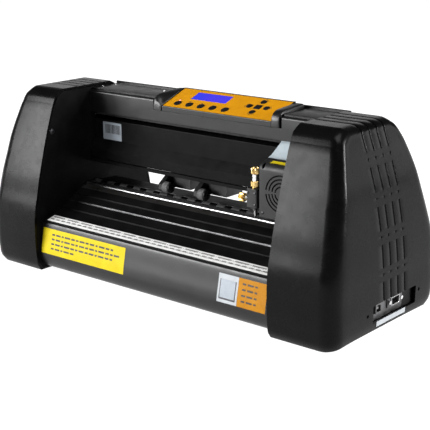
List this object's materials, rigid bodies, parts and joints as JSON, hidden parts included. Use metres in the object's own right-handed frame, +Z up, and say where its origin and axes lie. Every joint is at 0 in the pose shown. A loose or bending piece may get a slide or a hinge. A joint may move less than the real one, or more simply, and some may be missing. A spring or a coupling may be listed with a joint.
{
  "type": "vinyl cutter",
  "caption": "Desktop vinyl cutter with two moulded end covers, a ribbed bed, a beam with a sliding knife carriage, pinch wheels and a sloping key panel with a display.",
  "frame": {"origin": "centre of the footprint, on the surface that the rubber feet stand on", "axes": "+X to the right seen from the front, +Y to the rear, +Z up; the console and the apron face -Y"},
  "size_m": [0.556, 0.222, 0.2389],
  "materials": {
    "shell": "satin moulded",
    "painted_plate": "satin powder coat",
    "rubber": "matte",
    "black_aluminium": "black anodised, brushed along its length",
    "aluminium": "satin",
    "steel": "satin",
    "brass": "polished",
    "white_strip": "matte",
    "orange_panel": "fine matte film",
    "board": "satin",
    "ribbon": "satin",
    "key_black": "satin"
  },
  "bodies": {
    "root": {"left_end_cover": "shell", "right_end_cover": "shell", "left_side_plate": "painted_plate", "right_side_plate": "painted_plate", "foot_front_left": "rubber", "foot_front_right": "rubber", "foot_rear_left": "rubber", "foot_rear_right": "rubber", "base_pan": "painted_plate", "front_apron": "shell", "platen": "black_aluminium", "cutting_strip": "white_strip", "ruler_strip": "white_strip", "rear_guide": "painted_plate", "main_beam": "black_aluminium", "carriage_rail": "steel", "top_cover": "shell", "panel_overlay": "orange_panel", "display_board": "board", "console_housing": "shell", "carriage_belt": "rubber", "carriage_motor": "painted_plate", "idler_bracket": "steel", "feed_belt": "rubber", "feed_motor": "painted_plate", "usb_socket": "steel", "serial_socket": "steel", "port_plate": "aluminium", "control_board": "board", "power_supply": "aluminium", "power_inlet": "shell"},
    "carriage": {"carriage_plate": "black_aluminium", "carriage_cover": "shell", "tool_coil": "steel", "ribbon_cable": "ribbon"},
    "tool": {"tool_slide": "shell", "blade_holder": "brass"},
    "clamp": {"clamp_screw": "brass"},
    "drive_pulley": {"drive_pulley": "aluminium"},
    "idler_pulley": {"idler_pulley": "aluminium"},
    "feed": {"feed_shaft": "steel", "feed_pulley": "aluminium"},
    "motor_pulley": {"motor_pulley": "aluminium"},
    "lift": {"pinch_shaft": "steel", "pinch_lever": "shell"},
    "arm_left": {"pinch_arm_left": "shell"},
    "arm_right": {"pinch_arm_right": "shell"},
    "wheel_left": {"pinch_wheel_left": "rubber"},
    "wheel_right": {"pinch_wheel_right": "rubber"},
    "power_switch": {"power_switch": "key_black"},
    "function_key_1": {"function_key_1": "key_black"},
    "function_key_2": {"function_key_2": "key_black"},
    "function_key_3": {"function_key_3": "key_black"},
    "function_key_4": {"function_key_4": "key_black"},
    "function_key_5": {"function_key_5": "key_black"},
    "arrow_key_up": {"arrow_key_up": "key_black"},
    "arrow_key_down": {"arrow_key_down": "key_black"},
    "arrow_key_left": {"arrow_key_left": "key_black"},
    "arrow_key_right": {"arrow_key_right": "key_black"},
    "enter_key": {"enter_key": "key_black"}
  },
  "joints": [
    {"name": "carriage_travel", "type": "slide", "parent": "root", "child": "carriage", "axis": [1, 0, 0], "range_m": [-0.27, 0]},
    {"name": "tool_lift", "type": "slide", "parent": "carriage", "child": "tool", "axis": [0, 0, 1], "range_m": [-0.003, 0], "stiffness_N_per_m": 400, "springref_m": 0.004},
    {"name": "clamp_screw_turn", "type": "hinge", "parent": "tool", "child": "clamp", "pos_m": [0.091, -0.028, 0.1315], "axis": [1, 0, 0], "continuous": true},
    {"name": "drive_pulley_spin", "type": "hinge", "parent": "root", "child": "drive_pulley", "pos_m": [0.217, 0.022, 0.1965], "axis": [0, 0, 1], "range_deg": [-1800, 60]},
    {"name": "idler_pulley_spin", "type": "hinge", "parent": "root", "child": "idler_pulley", "pos_m": [-0.207, 0.022, 0.1965], "axis": [0, 0, 1], "range_deg": [-1800, 60]},
    {"name": "feed_spin", "type": "hinge", "parent": "root", "child": "feed", "pos_m": [0, 0, 0.101], "axis": [1, 0, 0], "continuous": true},
    {"name": "motor_pulley_spin", "type": "hinge", "parent": "root", "child": "motor_pulley", "pos_m": [0.199, 0.036, 0.066], "axis": [1, 0, 0], "continuous": true},
    {"name": "lift_lever", "type": "hinge", "parent": "root", "child": "lift", "pos_m": [-0.1685, 0.04, 0.126], "axis": [1, 0, 0], "range_deg": [0, 35]},
    {"name": "arm_left_lift", "type": "hinge", "parent": "root", "child": "arm_left", "pos_m": [-0.05, 0.04, 0.126], "axis": [1, 0, 0], "range_deg": [-8.2, 0]},
    {"name": "wheel_left_spin", "type": "hinge", "parent": "arm_left", "child": "wheel_left", "pos_m": [-0.05, 0, 0.1147], "axis": [1, 0, 0], "continuous": true},
    {"name": "arm_right_lift", "type": "hinge", "parent": "root", "child": "arm_right", "pos_m": [0.01, 0.04, 0.126], "axis": [1, 0, 0], "range_deg": [-8.2, 0]},
    {"name": "wheel_right_spin", "type": "hinge", "parent": "arm_right", "child": "wheel_right", "pos_m": [0.01, 0, 0.1147], "axis": [1, 0, 0], "continuous": true},
    {"name": "power_switch_rock", "type": "hinge", "parent": "root", "child": "power_switch", "pos_m": [-0.272, 0.07, 0.052], "axis": [0, 1, 0], "range_deg": [-10, 0]},
    {"name": "function_key_1_press", "type": "slide", "parent": "root", "child": "function_key_1", "axis": [0, -0.3469, 0.9379], "range_m": [-0.0008, 0], "stiffness_N_per_m": 250, "springref_m": 0.0006},
    {"name": "function_key_2_press", "type": "slide", "parent": "root", "child": "function_key_2", "axis": [0, -0.3469, 0.9379], "range_m": [-0.0008, 0], "stiffness_N_per_m": 250, "springref_m": 0.0006},
    {"name": "function_key_3_press", "type": "slide", "parent": "root", "child": "function_key_3", "axis": [0, -0.3469, 0.9379], "range_m": [-0.0008, 0], "stiffness_N_per_m": 250, "springref_m": 0.0006},
    {"name": "function_key_4_press", "type": "slide", "parent": "root", "child": "function_key_4", "axis": [0, -0.3469, 0.9379], "range_m": [-0.0008, 0], "stiffness_N_per_m": 250, "springref_m": 0.0006},
    {"name": "function_key_5_press", "type": "slide", "parent": "root", "child": "function_key_5", "axis": [0, -0.3469, 0.9379], "range_m": [-0.0008, 0], "stiffness_N_per_m": 250, "springref_m": 0.0006},
    {"name": "arrow_key_up_press", "type": "slide", "parent": "root", "child": "arrow_key_up", "axis": [0, -0.3469, 0.9379], "range_m": [-0.0008, 0], "stiffness_N_per_m": 250, "springref_m": 0.0006},
    {"name": "arrow_key_down_press", "type": "slide", "parent": "root", "child": "arrow_key_down", "axis": [0, -0.3469, 0.9379], "range_m": [-0.0008, 0], "stiffness_N_per_m": 250, "springref_m": 0.0006},
    {"name": "arrow_key_left_press", "type": "slide", "parent": "root", "child": "arrow_key_left", "axis": [0, -0.3469, 0.9379], "range_m": [-0.0008, 0], "stiffness_N_per_m": 250, "springref_m": 0.0006},
    {"name": "arrow_key_right_press", "type": "slide", "parent": "root", "child": "arrow_key_right", "axis": [0, -0.3469, 0.9379], "range_m": [-0.0008, 0], "stiffness_N_per_m": 250, "springref_m": 0.0006},
    {"name": "enter_key_press", "type": "slide", "parent": "root", "child": "enter_key", "axis": [0, -0.3469, 0.9379], "range_m": [-0.0008, 0], "stiffness_N_per_m": 250, "springref_m": 0.0006}
  ],
  "couplings": [
    {"joint": "drive_pulley_spin", "follows": "carriage_travel", "rad_per_m": 104.17},
    {"joint": "idler_pulley_spin", "follows": "carriage_travel", "rad_per_m": 104.17},
    {"joint": "motor_pulley_spin", "follows": "feed_spin", "ratio": 2.5556},
    {"joint": "wheel_left_spin", "follows": "feed_spin", "ratio": -0.8108},
    {"joint": "wheel_right_spin", "follows": "feed_spin", "ratio": -0.8108},
    {"joint": "arm_left_lift", "follows": "lift_lever", "ratio": -0.22857},
    {"joint": "arm_right_lift", "follows": "lift_lever", "ratio": -0.22857}
  ]
}
